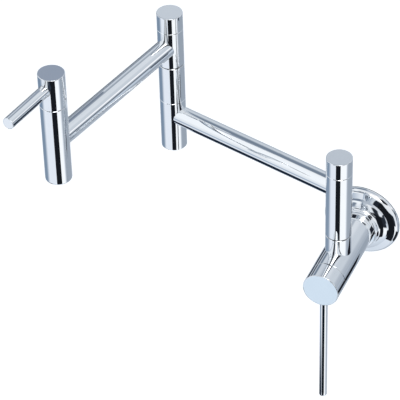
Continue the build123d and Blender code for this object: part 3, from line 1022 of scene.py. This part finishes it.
# How high a direction looks, from 0 for straight down to 1 for straight up, and the room's colour there.
ROOM_STOPS = (
    (0.0, (0.60, 0.66, 0.74)),
    (0.14, (0.72, 0.79, 0.88)),
    (0.27, (0.89, 0.94, 1.02)),
    (0.5, (0.88, 0.92, 0.96)),
    (0.7, (1.0, 1.0, 1.0)),
    (1.0, (0.85, 0.88, 0.92)),
)

# Name, azimuth, elevation, half width, half height, colour and soft edge. Each lies over those before it.
PANELS = (
    RoomPanel("back_wall", 180.0, 0.0, 75.0, 95.0, (0.50, 0.55, 0.62), 30.0),
    RoomPanel("back_glow", 165.0, 24.0, 60.0, 14.0, (0.66, 0.71, 0.77), 14.0),
    RoomPanel("back_light", 150.0, 46.0, 40.0, 9.0, (0.78, 0.82, 0.87), 12.0),
    RoomPanel("back_shade", -140.0, 60.0, 32.0, 16.0, (0.20, 0.25, 0.32), 14.0),
    RoomPanel("right_grey", 134.0, -28.0, 44.0, 18.0, (0.36, 0.41, 0.48), 24.0),
    RoomPanel("left_flag", -96.0, -36.0, 30.0, 14.0, (0.20, 0.28, 0.39), 34.0),
    RoomPanel("key_panel", -55.0, 33.0, 45.0, 28.0, (1.04, 1.07, 1.10), 24.0),
    RoomPanel("right_white", 52.0, -38.0, 34.0, 12.0, (1.10, 1.12, 1.14), 18.0),
    RoomPanel("front_grey", -48.0, -22.0, 30.0, 7.0, (0.45, 0.53, 0.64), 8.0),
    RoomPanel("right_strip", 119.0, 13.0, 14.0, 5.0, (1.10, 1.10, 1.12), 4.0),
    RoomPanel("right_line", 119.0, -3.0, 14.0, 4.0, (0.13, 0.16, 0.20), 3.0),
    RoomPanel("right_low", 123.0, -19.0, 14.0, 7.0, (0.62, 0.70, 0.80), 6.0),
    RoomPanel("low_strip", -82.0, -55.0, 46.0, 12.5, (0.01, 0.02, 0.04), 2.0),
    RoomPanel("front_dark", 32.0, -19.0, 26.0, 13.0, BLACK_CLOTH, 4.0),
    RoomPanel("right_gap", 104.0, -2.0, 7.0, 16.0, DARK_CLOTH, 4.0),
    RoomPanel("front_gap", 17.0, 0.0, 7.0, 14.0, BLACK_CLOTH, 4.0),
    RoomPanel("left_front_gap", -24.0, 1.0, 4.0, 11.0, (0.22, 0.27, 0.34), 5.0),
    RoomPanel("barrel_shade", -139.0, -17.0, 9.0, 7.0, DARK_CLOTH, 3.0),
    RoomPanel("post_line", -22.0, 40.0, 14.0, 14.0, BLACK_CLOTH, 3.0),
    RoomPanel("post_edge", 70.0, 40.0, 26.0, 11.0, BLACK_CLOTH, 4.0),
    RoomPanel("left_edge", -141.0, 16.0, 9.0, 5.0, (0.19, 0.24, 0.31), 5.0),
    RoomPanel("barrel_line", -137.0, 1.0, 8.0, 3.5, NIGHT_CLOTH, 2.0),
    RoomPanel("left_gap", -112.0, -4.0, 9.0, 14.0, (0.05, 0.07, 0.10), 5.0),
)


@dataclass(frozen=True)
class Studio:
    """The studio that the photograph's reflections tell of.

    It has a floor, cards that the chrome mirrors, lamps, and a room with soft light and panels.
    """

    ambient: float = 1.0
    floor: Floor = Floor()
    cards: tuple[Card, ...] = CARDS
    lamps: tuple[Softbox, ...] = LAMPS
    panels: tuple[RoomPanel, ...] = PANELS
    room_stops: tuple[tuple[float, Colour], ...] = ROOM_STOPS

    def build(self) -> None:
        """Builds everything around the tap."""
        for thing in (self.floor, *self.cards, *self.lamps):
            thing.build()
            log.info("studio: %s", thing.name)
        self.room()

    def room(self) -> None:
        """Lights the room softly and keeps it white where the camera sees it."""
        world = bpy.data.worlds.new("soft_room")
        bpy.context.scene.world = world
        world.use_nodes = True
        tree = Tree(world.node_tree)
        place = tree.add("ShaderNodeTexCoord")
        parts = tree.feed(tree.add("ShaderNodeSeparateXYZ"), Vector=place.outputs["Generated"])
        right, back, up = parts.outputs
        azimuth = tree.math("ARCTAN2", right, tree.math("MULTIPLY", back, -1.0))
        elevation = tree.math("ARCSINE", up)
        # Straight down is 0, level 0.5 and straight up 1.
        height = tree.math("ADD", tree.math("MULTIPLY", elevation, 1.0 / math.pi), 0.5)
        colour = tree.ramp(height, self.room_stops)
        for panel in self.panels:
            colour = tree.blend(panel.mask(tree, azimuth, elevation), colour, panel.colour)
            log.info("studio: %s", panel.name)
        seen = tree.rays("Is Camera Ray", "Is Transmission Ray")
        tree.feed(
            world.node_tree.nodes["Background"],
            Color=tree.blend(seen, colour, WHITE),
            Strength=self.ambient,
        )


# ---------------------------------------------------------------------------
# Build
# ---------------------------------------------------------------------------


def main() -> None:
    """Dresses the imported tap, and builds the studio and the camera."""
    logging.basicConfig(level=logging.INFO, format="%(message)s")
    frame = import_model()
    effects = Effects()
    dressed = 0
    modelled = 0
    for part in (WallBody(), InnerArm(), OuterArm(), FrontHandle(), SpoutHandle()):
        dressed += part.dress(frame["nodes"], effects)
        modelled += len(part.build(frame["record"], effects))
    log.info("dressed %d of %d packed pieces and modelled %d", dressed, len(frame["nodes"]), modelled)
    Studio().build()
    PhotoCamera().build()
    bpy.context.scene.view_settings.view_transform = "Standard"


if __name__ == "__main__":
    main()
